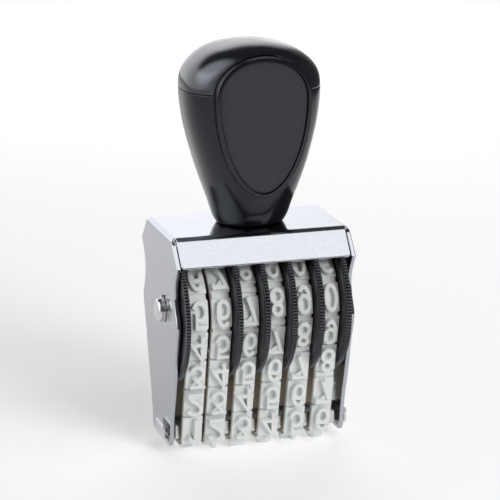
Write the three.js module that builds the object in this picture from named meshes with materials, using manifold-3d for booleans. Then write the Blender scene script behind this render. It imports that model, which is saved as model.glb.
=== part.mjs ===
// Six-band hand numbering stamp. Millimetres, +Z up, front towards -Y, standing on its printing faces.
import * as THREE from "three";
import { mergeVertices } from "three/addons/utils/BufferGeometryUtils.js";
import Module from "manifold-3d";

const wasm = await Module();
wasm.setup();

// ---- Driving dimensions ----
const CHARACTER_H = 5.4; // height of one printed character
const CHARACTER_W = 3.5;
const STROKE = 0.8; // line width of a character

const FRAME_W = 38; // over both side plates
const FRAME_TOP = 47.3; // top plate above the printing faces
const FRAME_T = 0.9; // sheet thickness
const TOP_HALF_D = 10.35; // half depth of the top plate, at the bends
const FLARE_HALF_D = 14.6; // half depth over the lower edges of the aprons
const FLARE_Z = 42.0; // lower edge of the aprons
const PLATE_BOTTOM = 1.8; // lower end of the side plates
const FOOT_HALF_D = 7.3, FOOT_R = 1.4; // the plates' lower ends and their rounded corners
const APRON_BEND_R = 2.3, SIDE_BEND_R = 1.2;

const AXLE_R = 2.45;
const AXLE_Y = -3.0; // the wheels sit a little in front of the handle's axis
const AXLE_Z = 30.5;
const AXLE_HALF_L = 20.5;
const AXLE_PLAY = 0.15; // round the axle, in the side plates
const BORE_R = AXLE_R + 0.09;
const GROOVE_R = 1.85; // groove for the retaining clip
const GROOVE_X = 19.3; // the clip sits close to the side plate
const CLIP_R = 2.56, CLIP_T = 0.44;

const WHEEL_R = 14.9; // thumb wheel, over the teeth
const WHEEL_T = 0.95; // toothed rim
const TEETH = 140;
const TOOTH_H = 0.4;
const DRUM_R = 9.3; // smooth drum the band runs over
const SHOULDER_R = 13.3;

const BAND_W = 4.2;
const PITCH_X = 5.78; // from one band to the next
const BAND_1_X = -14.4; // first band: its wheel is on its left, the others have theirs on the right
const BAND_2_X = -9.45;
const FABRIC_IN = 0.25, FABRIC_OUT = 0.7; // layers of a band, measured out from the drum and the platen
const RUBBER_IN = 0.8, RUBBER_OUT = 1.25;
const BLOCK_OUT = 1.6, FACE_OUT = 2.75;
const ROOT = 0.2; // how deep a character stands in its block
const SPLICE = 1.2; // extra plain length between two blocks, where the band is joined
const BLOCK_GAP = 0.55; // between two neighbouring blocks

const PLATEN_Y = -2.6;
const PLATEN_D = 6.6;
const PLATEN_R = 1.0; // bend of the tray's long edges
const PLATEN_BOTTOM = FACE_OUT;
const PLATEN_H = 3.3;
const PLATEN_T = 0.65;
const PLATEN_HALF_L = 20.2;
const END_BEND_R = 1.2;

const HANDLE_Z = FRAME_TOP + 0.1;
const HANDLE_X = 0.5; // the handle stands a little off the frame's middle
const SEAM = 28.4; // height of the handle's seam over the frame
const SEAM_GAP = 0.25;
const PANEL_Y = 11.5; // front of the raised oval rim
const PANEL_DEPTH = 1.15; // recess inside the rim
const RIM_W = 0.95;
const RIM_ROOT = 7.6, CLEAR = 13; // where the rim starts inside the handle; a distance past all of it
const LABEL_T = 0.6;

const SHIFT_Y = (AXLE_Y - WHEEL_R + FLARE_HALF_D) / -2; // centres the outline on the origin

// ---- Materials ----
const paint = (color, roughness, metalness) =>
  new THREE.MeshStandardMaterial({ color, roughness, metalness });
const chrome = () => paint(0xd6d9dd, 0.18, 1);
const steel = () => paint(0xc2c4c6, 0.3, 1);
const glossBlack = () => paint(0x15171c, 0.18, 0);
const satinBlack = () => paint(0x1b1d22, 0.4, 0);
const wheelBlack = () => paint(0x202226, 0.5, 0);
const labelGrey = () => paint(0x2c2e31, 0.6, 0);
const rubberGrey = () => paint(0xc9cccb, 0.7, 0);
const canvasBrown = () => paint(0x8a765a, 0.9, 0);

// ---- Helpers ----
const X = new THREE.Vector3(1, 0, 0), Y = new THREE.Vector3(0, 1, 0), Z = new THREE.Vector3(0, 0, 1);
const v2 = (x, y) => new THREE.Vector2(x, y);
const rad = THREE.MathUtils.degToRad;
const alongX = (x0) => new THREE.Matrix4().makeBasis(Y, Z, X).setPosition(x0, 0, 0); // outline in Y, Z
// outline in X, Z
const alongY = (y1) => new THREE.Matrix4().makeBasis(X, Z, Y.clone().negate()).setPosition(0, y1, 0);

// A closed surface as a solid that can be joined and cut.
function solid(geometry, matrix = new THREE.Matrix4()) {
  const loose = geometry.index ? geometry.toNonIndexed() : geometry;
  const placed = new THREE.BufferGeometry()
    .setAttribute("position", loose.getAttribute("position").clone())
    .applyMatrix4(matrix);
  const g = mergeVertices(placed, 1e-4);
  const triVerts = new Uint32Array(g.index.array);
  const vertProperties = g.attributes.position.array;
  return new wasm.Manifold(new wasm.Mesh({ numProp: 3, vertProperties, triVerts }));
}

const extrude = (shape, depth, matrix) =>
  solid(new THREE.ExtrudeGeometry(shape, { depth, bevelEnabled: false, curveSegments: 24 }), matrix);
const union = (solids) => solids.reduce((sum, s) => sum.add(s));

const root = new THREE.Group();
root.position.y = SHIFT_Y;

function addNode(name, s, material) {
  const mesh = s.getMesh();
  const g = new THREE.BufferGeometry()
    .setAttribute("position", new THREE.BufferAttribute(new Float32Array(mesh.vertProperties), 3))
    .setIndex(new THREE.BufferAttribute(new Uint32Array(mesh.triVerts), 1));
  g.computeVertexNormals();
  const node = new THREE.Mesh(g, material);
  node.name = name;
  root.add(node);
}

function circle(cx, cy, r, n) {
  return Array.from({ length: n }, (_, i) => {
    const t = (2 * Math.PI * i) / n;
    return v2(cx + r * Math.cos(t), cy + r * Math.sin(t));
  });
}

// A flat outline with an optional hole.
function outline(points, hole) {
  const shape = new THREE.Shape(THREE.ShapeUtils.isClockWise(points) ? [...points].reverse() : points);
  if (hole) shape.holes.push(new THREE.Path(hole));
  return shape;
}

// The line `points` moved sideways by d, to its left, with mitred corners.
function offsetLine(points, d) {
  return points.map((p, i) => {
    const before = p.clone().sub(points[Math.max(i - 1, 0)]).normalize();
    const after = points[Math.min(i + 1, points.length - 1)].clone().sub(p).normalize();
    const a = i > 0 ? before : after;
    const b = i < points.length - 1 ? after : before;
    const n = v2(-a.y - b.y, a.x + b.x).normalize();
    return p.clone().addScaledVector(n, d / Math.max(0.5, -n.x * a.y + n.y * a.x));
  });
}

// A strip between two offsets of one line: bent sheet, or the stroke of a character.
const strip = (points, left, right) =>
  outline([...offsetLine(points, left), ...offsetLine(points, right).reverse()]);

// The line with each inner corner rounded to radius r.
function rounded(points, r, steps = 5) {
  const out = [points[0]];
  for (let i = 1; i < points.length - 1; i++) {
    const p = points[i];
    const a = points[i - 1].clone().sub(p).normalize(), b = points[i + 1].clone().sub(p).normalize();
    const half = Math.acos(a.dot(b)) / 2;
    const centre = p.clone().addScaledVector(a.clone().add(b).normalize(), r / Math.sin(half));
    const from = p.clone().addScaledVector(a, r / Math.tan(half)).sub(centre);
    const to = p.clone().addScaledVector(b, r / Math.tan(half)).sub(centre);
    let turn = to.angle() - from.angle();
    if (turn > Math.PI) turn -= 2 * Math.PI;
    if (turn < -Math.PI) turn += 2 * Math.PI;
    for (let k = 0; k <= steps; k++)
      out.push(from.clone().rotateAround(v2(0, 0), (turn * k) / steps).add(centre));
  }
  return [...out, points[points.length - 1]];
}

// ---- Characters: each a list of flat shapes in a cell one high, centred on its middle ----
function arc(cx, cy, rx, ry, from, to, steps) {
  return Array.from({ length: steps + 1 }, (_, i) => {
    const t = rad(from + ((to - from) * i) / steps);
    return v2(cx + rx * Math.cos(t), cy + ry * Math.sin(t));
  });
}
const line = (...xy) => xy.map(([x, y]) => v2(x, y));
// A U lying between a and b: its web at one height and the ends of its legs at another.
const channel = (a, b, ends, web) => line([a, ends], [a, web], [b, web], [b, ends]);
const ring = (cx, cy, rx, ry) => ({ ring: [cx, cy, rx, ry] });
const CHARACTERS = {
  0: [ring(0, 0, 0.31, 0.5)],
  1: [line([-0.2, 0.24], [0.1, 0.47], [0.1, -0.5])],
  2: [[...arc(0, 0.21, 0.27, 0.22, 170, -25, 4), ...line([-0.26, -0.42], [0.35, -0.42])]],
  3: [[...line([-0.27, 0.42], [0.24, 0.42], [-0.04, 0.1]), ...arc(0, -0.16, 0.27, 0.265, 75, -155, 4)]],
  4: [line([0.14, -0.5], [0.14, 0.44], [-0.28, -0.17], [0.36, -0.17])],
  5: [[...line([0.34, 0.42], [-0.12, 0.42], [-0.14, 0.1]), ...arc(0, -0.13, 0.26, 0.29, 110, -160, 4)]],
  6: [ring(0.02, -0.145, 0.31, 0.355), arc(0.02, 0, 0.23, 0.43, 40, 180, 4)],
  7: [line([-0.3, 0.26], [-0.28, 0.42], [0.25, 0.42], [-0.1, -0.5])],
  8: [ring(0, 0.245, 0.27, 0.255), ring(0, -0.2, 0.32, 0.3)],
  9: [ring(0, 0.145, 0.31, 0.355), arc(0, 0, 0.23, 0.43, 220, 360, 4)],
  euro: [
    arc(0.08, 0, 0.3, 0.42, 50, 310, 5),
    line([-0.36, 0.1], [0.14, 0.1]),
    line([-0.36, -0.1], [0.14, -0.1]),
  ],
  dot: [line([-0.09, -0.42], [0.09, -0.42])],
  slash: [line([-0.27, -0.48], [0.27, 0.48])],
  dash: [line([-0.26, 0], [0.26, 0])],
};
const SEQUENCE = ["dash", 1, 2, 3, 4, 5, 6, 7, 8, 9, 0, "euro", "dot", "slash"];
const AFTER_SPLICE = SEQUENCE.indexOf(8);

function characterShapes(name) {
  const sx = CHARACTER_W / 0.72, sy = -CHARACTER_H; // the type is a mirror image of what it prints
  const scale = (p) => v2(p.x * sx, p.y * sy);
  return CHARACTERS[name].map((piece) => {
    if (!piece.ring) return strip(piece.map(scale), STROKE / 2, -STROKE / 2);
    const [cx, cy, rx, ry] = piece.ring;
    const oval = (inset) =>
      arc(cx * sx, cy * sy, rx * sx - inset, ry * -sy - inset, 0, 360, 8).slice(0, -1);
    return outline(oval(0), oval(STROKE));
  });
}

// ---- The closed track of a band: front corner of the platen, over the drum, rear corner ----
const cornerY = PLATEN_D / 2 - PLATEN_R;
const ROLLERS = [
  { y: PLATEN_Y - cornerY, z: PLATEN_BOTTOM + PLATEN_R, r: PLATEN_R, steps: 3 },
  { y: AXLE_Y, z: AXLE_Z, r: DRUM_R, steps: 18 },
  { y: PLATEN_Y + cornerY, z: PLATEN_BOTTOM + PLATEN_R, r: PLATEN_R, steps: 3 },
];
// Direction of the outward normal on the straight run from roller i to the next.
function runNormal(i) {
  const a = ROLLERS[i], b = ROLLERS[(i + 1) % 3];
  const dy = b.y - a.y, dz = b.z - a.z;
  return Math.atan2(dz, dy) + Math.acos((a.r - b.r) / Math.hypot(dy, dz));
}
const NORMALS = [0, 1, 2].map(runNormal);
const turnOf = (i) => {
  const t = (NORMALS[(i + 2) % 3] - NORMALS[i]) % (2 * Math.PI);
  return t < 0 ? t + 2 * Math.PI : t;
};

function trackOutline(off) {
  return ROLLERS.flatMap((c, i) =>
    Array.from({ length: c.steps + 1 }, (_, k) => {
      const a = NORMALS[(i + 2) % 3] - (turnOf(i) * k) / c.steps;
      return v2(c.y + (c.r + off) * Math.cos(a), c.z + (c.r + off) * Math.sin(a));
    }),
  );
}

// The track in pieces, from the middle of the printing face forwards and up, along the fabric.
const NEUTRAL = (FABRIC_IN + FABRIC_OUT) / 2;
const TRACK = [];
ROLLERS.forEach((c, i) => {
  const next = ROLLERS[(i + 1) % 3], n = NORMALS[i];
  TRACK.push({ length: turnOf(i) * (c.r + NEUTRAL), centre: c, from: NORMALS[(i + 2) % 3] });
  const run = Math.sqrt((next.y - c.y) ** 2 + (next.z - c.z) ** 2 - (next.r - c.r) ** 2);
  TRACK.push({ length: run, centre: c, n });
});
const printRun = TRACK[TRACK.length - 1].length;
const TRACK_LENGTH = TRACK.reduce((sum, t) => sum + t.length, 0);
const CELL = (TRACK_LENGTH - SPLICE) / SEQUENCE.length; // from one character to the next

// Position, outward normal and direction of travel at distance s along the track.
function trackAt(s) {
  s = (((s - printRun / 2) % TRACK_LENGTH) + TRACK_LENGTH) % TRACK_LENGTH;
  for (const part of TRACK) {
    if (s > part.length) {
      s -= part.length;
      continue;
    }
    const a = part.n === undefined ? part.from - s / (part.centre.r + NEUTRAL) : part.n;
    const normal = new THREE.Vector3(0, Math.cos(a), Math.sin(a));
    const travel = new THREE.Vector3().crossVectors(normal, X);
    const p = new THREE.Vector3(0, part.centre.y, part.centre.z).addScaledVector(normal, part.centre.r);
    if (part.n !== undefined) p.addScaledVector(travel, s);
    return { p, normal, travel };
  }
}

// ---- Frame: top plate with two sloping aprons, and two side plates, one bent sheet ----
function makeFrame() {
  const half = FRAME_W / 2, flare = FLARE_HALF_D - 0.05;
  const section = rounded(
    line([-flare, FLARE_Z], [-TOP_HALF_D, FRAME_TOP], [TOP_HALF_D, FRAME_TOP], [flare, FLARE_Z]),
    APRON_BEND_R,
  );
  const bendSection = rounded(channel(-half, half, FRAME_TOP - 4, FRAME_TOP), SIDE_BEND_R);
  const inner = half - FRAME_T;
  const top = extrude(strip(section, 0, -FRAME_T), 2 * inner - 0.3, alongX(-inner + 0.15));
  const bends = extrude(strip(bendSection, 0, -FRAME_T), 19.4, alongY(9.7));

  // One edge of a side plate from the apron down to its rounded foot, as half depth and distance below
  // the top; the other edge mirrors it.
  const waist = [[12.4, 9.2], [12.0, 11.9], [12.7, 14.6], [13.9, 17.2], [13.9, 19.2], [12.1, 24.6]];
  const taper = [[11.3, 28.0], [9.9, 32.8], [8.3, 37.9], [7.4, 42.6]];
  const edge = new THREE.SplineCurve([
    v2(FLARE_HALF_D, FLARE_Z),
    ...[...waist, ...taper].map(([reach, down]) => v2(reach, FRAME_TOP - down)),
    v2(FOOT_HALF_D, PLATE_BOTTOM + FOOT_R),
  ]).getPoints(17);
  const foot = arc(FOOT_HALF_D - FOOT_R, PLATE_BOTTOM + FOOT_R, FOOT_R, FOOT_R, 0, -90, 4);
  const side = [v2(TOP_HALF_D + 0.4, FRAME_TOP - 0.8), ...edge, ...foot];
  const plate = outline([...side, ...side.map((p) => v2(-p.x, p.y)).reverse()]);
  plate.holes.push(new THREE.Path(circle(AXLE_Y, AXLE_Z, AXLE_R + AXLE_PLAY, 24)));
  const reach = PLATEN_D / 2 + 0.25, low = PLATEN_BOTTOM - 0.2, high = PLATEN_BOTTOM + PLATEN_H + 0.3;
  const slot = rounded(
    line([0, low], [reach, low], [reach, high], [-reach, high], [-reach, low], [0, low]), 0.6, 3,
  ).map((p) => v2(p.x + PLATEN_Y, p.y));
  plate.holes.push(new THREE.Path(slot.slice(0, -1)));
  return union([top, bends, extrude(plate, FRAME_T, alongX(-half)), extrude(plate, FRAME_T, alongX(inner))]);
}
addNode("frame", makeFrame(), chrome());

// ---- Axle with its two retaining clips ----
const halfAxle = [
  [0, AXLE_HALF_L], [AXLE_R - 0.6, AXLE_HALF_L],
  [AXLE_R - 0.15, AXLE_HALF_L - 0.2], [AXLE_R, AXLE_HALF_L - 0.65],
  [AXLE_R, GROOVE_X + 0.35], [GROOVE_R, GROOVE_X + 0.35],
  [GROOVE_R, GROOVE_X - 0.35], [AXLE_R, GROOVE_X - 0.35],
];
const axleProfile = [
  ...halfAxle.map(([r, x]) => v2(r, -x)),
  ...halfAxle.reverse().map(([r, x]) => v2(r, x)),
];
const axleTurn = new THREE.Matrix4().makeRotationZ(-Math.PI / 2).setPosition(0, AXLE_Y, AXLE_Z);
addNode("axle", solid(new THREE.LatheGeometry(axleProfile, 24), axleTurn), steel());

// An open ring that snaps into the groove, with a pointed lug on top.
function makeClip(x) {
  const open = 35;
  const turn = (r) => arc(AXLE_Y, AXLE_Z, r, r, 270 + open, 270 + 360 - open, 18);
  const ringShape = outline([...turn(CLIP_R), ...turn(GROOVE_R + 0.12).reverse()]);
  const lug = line([-1.7, 1.88], [1.5, 2.02], [-0.1, 3.3]).map((p) => p.add(v2(AXLE_Y, AXLE_Z)));
  const place = alongX(x - CLIP_T / 2);
  return union([extrude(ringShape, CLIP_T, place), extrude(outline(lug), CLIP_T, place)]);
}
addNode("clip_left", makeClip(-GROOVE_X), steel());
addNode("clip_right", makeClip(GROOVE_X), steel());

// ---- Thumb wheels: toothed rim, shoulder and the drum that carries the band ----
function makeWheel(rimX, towardsBand) {
  const bore = circle(AXLE_Y, AXLE_Z, BORE_R, 24);
  const toothed = [];
  for (let i = 0; i < TEETH; i++) {
    const a = Math.PI + (2 * Math.PI * i) / TEETH, quarter = Math.PI / TEETH;
    toothed.push(...arcPoint(a, WHEEL_R), ...arcPoint(a + quarter, WHEEL_R - TOOTH_H));
  }
  const disc = (points, from, to) => {
    const x0 = rimX + towardsBand * from, x1 = rimX + towardsBand * to;
    return extrude(outline(points, bore), Math.abs(x1 - x0), alongX(Math.min(x0, x1)));
  };
  const half = WHEEL_T / 2;
  return union([
    disc(toothed, -half, half),
    disc(circle(AXLE_Y, AXLE_Z, SHOULDER_R, 24), half - 0.1, half + 0.2),
    disc(circle(AXLE_Y, AXLE_Z, DRUM_R, 24), half - 0.1, half + 2 * 0.22 + BAND_W - 0.1),
  ]);
}
const arcPoint = (a, r) => [v2(AXLE_Y + r * Math.cos(a), AXLE_Z + r * Math.sin(a))];

// ---- Bands: a fabric loop with a rubber loop on it, which carries the type ----
const loop = (x, width, inside, outside) =>
  extrude(outline(trackOutline(outside), trackOutline(inside)), width, alongX(x - width / 2));

function makeRubber(x, printed) {
  const start = (i) => i * CELL + (i >= AFTER_SPLICE ? SPLICE : 0);
  const pieces = [loop(x, BAND_W - 0.1, RUBBER_IN, RUBBER_OUT)];
  SEQUENCE.forEach((name, i) => {
    const { p, normal, travel } = trackAt(start(i) - start(printed));
    const turned = new THREE.Matrix4().makeBasis(X, travel, normal);
    const at = (off) => turned.clone().setPosition(p.clone().addScaledVector(normal, off).setX(x));
    const w = BAND_W / 2, l = (CELL - BLOCK_GAP) / 2;
    const block = outline(line([-w, -l], [w, -l], [w, l], [-w, l]));
    pieces.push(extrude(block, BLOCK_OUT - RUBBER_IN - 0.05, at(RUBBER_IN + 0.05)));
    for (const shape of characterShapes(name))
      pieces.push(extrude(shape, FACE_OUT - BLOCK_OUT + ROOT, at(BLOCK_OUT - ROOT)));
  });
  return union(pieces);
}

for (let k = 0; k < 6; k++) {
  const x = k === 0 ? BAND_1_X : BAND_2_X + (k - 1) * PITCH_X;
  const side = k === 0 ? -1 : 1; // which side of its band the toothed rim is on
  const rimX = x + side * (BAND_W / 2 + 0.2 + 0.25 + WHEEL_T / 2);
  addNode("thumb_wheel_" + (k + 1), makeWheel(rimX, -side), wheelBlack());
  addNode("band_fabric_" + (k + 1), loop(x, BAND_W, FABRIC_IN, FABRIC_OUT), canvasBrown());
  addNode("number_band_" + (k + 1), makeRubber(x, k), rubberGrey());
}

// ---- Platen: folded tray under the printing faces, through a slot in each side plate ----
function makePlaten() {
  const half = PLATEN_D / 2, top = PLATEN_BOTTOM + PLATEN_H;
  const across = rounded(channel(PLATEN_Y - half, PLATEN_Y + half, top, PLATEN_BOTTOM), PLATEN_R, 4);
  const lengthwise = rounded(channel(-PLATEN_HALF_L, PLATEN_HALF_L, top, PLATEN_BOTTOM), END_BEND_R, 4);
  const wall = half - 0.45;
  return union([
    extrude(strip(across, PLATEN_T, 0), 2 * 19.25, alongX(-19.25)),
    extrude(strip(lengthwise, PLATEN_T, 0), 2 * wall - 1, alongY(PLATEN_Y + wall - 0.5)),
  ]);
}
addNode("platen", makePlaten(), steel());

// ---- Handle: a teardrop, in two mouldings, with a raised oval rim in front and behind ----
// Half width and half depth at heights over the frame.
const HANDLE = new THREE.CatmullRomCurve3(
  [
    [6.9, 6.15, 0], [7.5, 6.8, 0.9], [8.6, 8.2, 4.1], [10.1, 9.9, 8.7], [12.15, 10.9, 15.5],
    [13.55, 11.2, 21], [14.2, 11.2, 25], [14.45, 11.2, 28.4], [14.15, 11.2, 31],
    [13.2, 11.1, 33], [11.6, 10.8, 34.7],
    [9.4, 9.8, 36.2], [6.7, 7.9, 37.2], [3.5, 4.8, 37.9], [0.9, 1.3, 38.2],
  ].map((p) => new THREE.Vector3(...p)),
);
const HANDLE_RINGS = HANDLE.getSpacedPoints(24);

function loft(rings, around = 36) {
  const points = [], faces = [];
  for (const { x: a, y: b, z } of rings) {
    const power = 2 / (2 + 0.65 * Math.min(1, z / 14)); // round at the neck, fuller higher up
    for (let i = 0; i < around; i++) {
      const t = (2 * Math.PI * i) / around, c = Math.cos(t), s = Math.sin(t);
      const x = a * Math.sign(c) * Math.abs(c) ** power, y = b * Math.sign(s) * Math.abs(s) ** power;
      points.push(HANDLE_X + x, y, HANDLE_Z + z);
    }
  }
  const last = (rings.length - 1) * around, middle = points.length / 3;
  for (const { z } of [rings[0], rings[rings.length - 1]]) points.push(HANDLE_X, 0, HANDLE_Z + z);
  for (let i = 0; i < around; i++) {
    const j = (i + 1) % around;
    for (let k = 0; k < last; k += around)
      faces.push(k + i, k + j, k + around + j, k + i, k + around + j, k + around + i);
    faces.push(middle, j, i, middle + 1, last + i, last + j);
  }
  const g = new THREE.BufferGeometry().setAttribute("position", new THREE.Float32BufferAttribute(points, 3));
  return solid(g.setIndex(faces));
}

// The oval of the rim, egg-shaped with its narrow end down, drawn in by `inset`.
function egg(inset, steps = 18) {
  const widest = 27.5, w = 10.1 - inset, up = 8.7 - inset, down = 20.3 - inset;
  const power = (v, p) => Math.sign(v) * Math.abs(v) ** p;
  return Array.from({ length: 2 * steps }, (_, i) => {
    const t = (Math.PI * i) / steps, c = Math.cos(t), s = Math.sin(t);
    const p = s > 0 ? 2 / 2.1 : 2 / 1.95;
    return v2(HANDLE_X + w * power(c, p), HANDLE_Z + widest + (s > 0 ? up : down) * power(s, p));
  });
}
// The oval as a solid between two distances in front of (side -1) or behind (side 1) the handle's middle.
function eggBlock(inset, near, far, side) {
  return extrude(outline(egg(inset)), far - near, alongY(side < 0 ? -near : far));
}

function makeHandle() {
  const level = (z) => {
    const i = HANDLE_RINGS.findIndex((p) => p.z > z);
    const a = HANDLE_RINGS[i - 1], b = HANDLE_RINGS[i];
    return a.clone().lerp(b, (z - a.z) / (b.z - a.z));
  };
  const below = [...HANDLE_RINGS.filter((p) => p.z < SEAM - 0.3), level(SEAM)];
  const above = [level(SEAM + SEAM_GAP), ...HANDLE_RINGS.filter((p) => p.z > SEAM + SEAM_GAP + 0.3)];
  let body = loft(below), cap = loft(above);
  for (const side of [-1, 1]) {
    body = body.add(eggBlock(0, RIM_ROOT, PANEL_Y, side));
    body = body.subtract(eggBlock(RIM_W, PANEL_Y - PANEL_DEPTH, CLEAR, side));
    cap = cap.subtract(eggBlock(-SEAM_GAP, RIM_ROOT - SEAM_GAP, CLEAR, side));
    const name = side < 0 ? "label_front" : "label_rear";
    const near = PANEL_Y - PANEL_DEPTH + 0.05;
    addNode(name, eggBlock(RIM_W + 0.15, near, near + LABEL_T, side), labelGrey());
  }
  addNode("handle_body", body, satinBlack());
  addNode("handle_cap", cap, glossBlack());
}
makeHandle();

export default root;
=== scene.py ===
"""Six-band hand numbering stamp: the looks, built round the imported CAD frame.

Shapes are worked out in mm and in the CAD source's frame. to_object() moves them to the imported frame.
"""
import math

import bmesh
import bpy
import numpy as np
from mathutils import Matrix, Vector
from mathutils.geometry import delaunay_2d_cdt, tessellate_polygon


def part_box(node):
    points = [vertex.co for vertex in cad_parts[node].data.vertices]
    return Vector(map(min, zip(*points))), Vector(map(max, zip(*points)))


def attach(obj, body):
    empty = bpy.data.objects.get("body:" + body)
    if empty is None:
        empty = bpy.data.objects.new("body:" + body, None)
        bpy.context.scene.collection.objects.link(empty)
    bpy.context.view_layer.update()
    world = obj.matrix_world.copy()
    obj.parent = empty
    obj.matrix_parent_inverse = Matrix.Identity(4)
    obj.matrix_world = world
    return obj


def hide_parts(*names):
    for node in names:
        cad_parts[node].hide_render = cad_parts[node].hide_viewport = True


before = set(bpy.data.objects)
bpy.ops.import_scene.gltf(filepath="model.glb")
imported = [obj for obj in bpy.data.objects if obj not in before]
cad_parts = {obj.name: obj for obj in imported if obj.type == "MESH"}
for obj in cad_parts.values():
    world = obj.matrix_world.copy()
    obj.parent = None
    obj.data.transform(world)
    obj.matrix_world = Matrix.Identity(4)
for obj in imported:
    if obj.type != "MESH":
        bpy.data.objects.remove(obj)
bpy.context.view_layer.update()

MM = 0.001
BODY = "stamp"

# ---- Dimensions ----
# The CAD source has the same, apart from the clips' place, BLOCK_GAP and the size of the characters.
FRAME_LO, FRAME_HI = (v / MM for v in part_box("frame"))
HALF_W = FRAME_HI.x  # over the side plates
TOP = FRAME_HI.z
SHEET = 0.9  # thickness of the frame's metal
TOP_HALF_D, FLARE_HALF_D, FLARE_Z, PLATE_BOTTOM = 10.35, 14.6, 42.0, FRAME_LO.z
SHIFT_Y = (FRAME_LO.y + FRAME_HI.y) / 2  # from the source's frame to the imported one
AXLE_Y, AXLE_Z, AXLE_R, AXLE_HALF_L = -3.0, 30.5, 2.45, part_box("axle")[1].x / MM
CLIP_X, GROOVE_R = 19.27, 1.85
WHEEL_R, WHEEL_T, DRUM_R, BORE_R = 14.9, 0.95, 9.3, 2.54
BANDS, BAND_W, PITCH_X, BAND_1_X, BAND_2_X = 6, 4.2, 5.78, -14.4, -9.45
WHEEL_GAP = 0.45  # between a band and its wheel's rim
# Heights over the track of a band; the characters stand on blocks.
FABRIC_IN, FABRIC_OUT, RUBBER_IN, RUBBER_OUT = 0.25, 0.7, 0.8, 1.25
BLOCK_OUT, FACE_OUT = 1.6, 2.75
CELLS, SPLICE, BLOCK_GAP = 14, 1.2, 0.5
PLATEN_Y, PLATEN_D, PLATEN_R, PLATEN_BOTTOM = -2.6, 6.6, 1.0, 2.75
PLATEN_H, PLATEN_T, PLATEN_HALF_L = 3.3, 0.65, 20.2
HANDLE_X, HANDLE_Z, SEAM = 0.5, TOP + 0.1, 28.4
PANEL_Y, PANEL_DEPTH, RIM_W, LABEL_T = 11.5, 1.15, 0.95, 0.6
CHARACTER_H, CHARACTER_W, STROKE = 5.6, 3.55, 0.84
FLOOR_GLOW = 0.34


# ---- Nodes ----
def map_range(tree, value, a, b, lo, hi, smooth=False):
    """A Map Range node from a..b to lo..hi."""
    m = tree.nodes.new("ShaderNodeMapRange")
    m.interpolation_type = "SMOOTHSTEP" if smooth else "LINEAR"
    tree.links.new(value, m.inputs["Value"])
    for socket, v in zip(("From Min", "From Max", "To Min", "To Max"), (a, b, lo, hi)):
        m.inputs[socket].default_value = v
    return m.outputs["Result"]


def math_node(tree, op, a, b=0.0, clamp=False):
    """A Math node on two numbers or sockets."""
    m = tree.nodes.new("ShaderNodeMath")
    m.operation, m.use_clamp = op, clamp
    for i, v in enumerate((a, b)):
        if isinstance(v, (int, float)):
            m.inputs[i].default_value = v
        else:
            tree.links.new(v, m.inputs[i])
    return m.outputs["Value"]


# ---- Materials ----
COOL = (0.88, 0.92, 1.0, 1)  # tint of what black plastic mirrors


class Nodes:
    """A Principled material and short ways to wire noise into it. Coords: "Object", or a UV map's name."""

    def __init__(self, name, color, roughness, metallic=0.0, specular=0.5, coords="Object"):
        self.material = bpy.data.materials.new(name)
        self.material.use_nodes = True
        self.tree = self.material.node_tree
        self.bsdf = self.tree.nodes["Principled BSDF"]
        self.set(self.bsdf, "Base Color", (*color, 1))
        self.set(self.bsdf, "Roughness", roughness)
        self.set(self.bsdf, "Metallic", metallic)
        self.set(self.bsdf, "Specular IOR Level", specular)
        source = self.tree.nodes.new("ShaderNodeTexCoord" if coords == "Object" else "ShaderNodeUVMap")
        if coords != "Object":
            source.uv_map = coords
        self.coords = source.outputs["Object" if coords == "Object" else "UV"]
        self.normal = None

    def set(self, node, socket, value):
        node.inputs[socket].default_value = value

    def link(self, a, b):
        self.tree.links.new(a, b)

    def stretched(self, scale):
        m = self.tree.nodes.new("ShaderNodeMapping")
        self.link(self.coords, m.inputs["Vector"])
        self.set(m, "Scale", scale)
        return m.outputs["Vector"]

    def noise(self, scale, detail=3.0, vector=None, rough=0.55):
        n = self.tree.nodes.new("ShaderNodeTexNoise")
        self.link(vector or self.coords, n.inputs["Vector"])
        self.set(n, "Scale", scale)
        self.set(n, "Detail", detail)
        self.set(n, "Roughness", rough)
        return n.outputs["Fac"]

    def axes(self):
        s = self.tree.nodes.new("ShaderNodeSeparateXYZ")
        self.link(self.coords, s.inputs["Vector"])
        return s.outputs

    def maths(self, op, a, b=0.0):
        return math_node(self.tree, op, a, b)

    def roughness(self, noise, lo, hi):
        """Roughness from lo to hi over the middle of a noise."""
        self.link(map_range(self.tree, noise, 0.3, 0.7, lo, hi), self.bsdf.inputs["Roughness"])

    def tint(self, value, first, second, a=0.35, b=0.65):
        """Base colour from first, where value is a, to second, where it is b."""
        r = self.tree.nodes.new("ShaderNodeValToRGB")
        self.link(value, r.inputs["Fac"])
        r.color_ramp.elements[0].position, r.color_ramp.elements[0].color = a, (*first, 1)
        r.color_ramp.elements[1].position, r.color_ramp.elements[1].color = b, (*second, 1)
        self.link(r.outputs["Color"], self.bsdf.inputs["Base Color"])

    def bump(self, height, strength, distance):
        """Relief up to distance mm high, on top of any bump that is there already."""
        b = self.tree.nodes.new("ShaderNodeBump")
        self.link(height, b.inputs["Height"])
        self.set(b, "Strength", strength)
        self.set(b, "Distance", distance * MM)
        if self.normal:
            self.link(self.normal, b.inputs["Normal"])
        self.normal = b.outputs["Normal"]
        self.link(self.normal, self.bsdf.inputs["Normal"])


def chrome_sheet():
    m = Nodes("chrome_sheet", (0.425, 0.44, 0.467), 0.1, metallic=1.0)
    m.tint(m.noise(1700, 3.0), (0.42, 0.436, 0.466), (0.45, 0.466, 0.496), 0.3, 0.7)
    m.roughness(m.noise(220, 4.0), 0.09, 0.17)
    m.bump(m.noise(900, 2.0), 0.5, 0.03)  # orange peel
    m.bump(m.noise(70, 1.0), 0.35, 0.12)  # waves of the sheet
    return m.material


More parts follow.
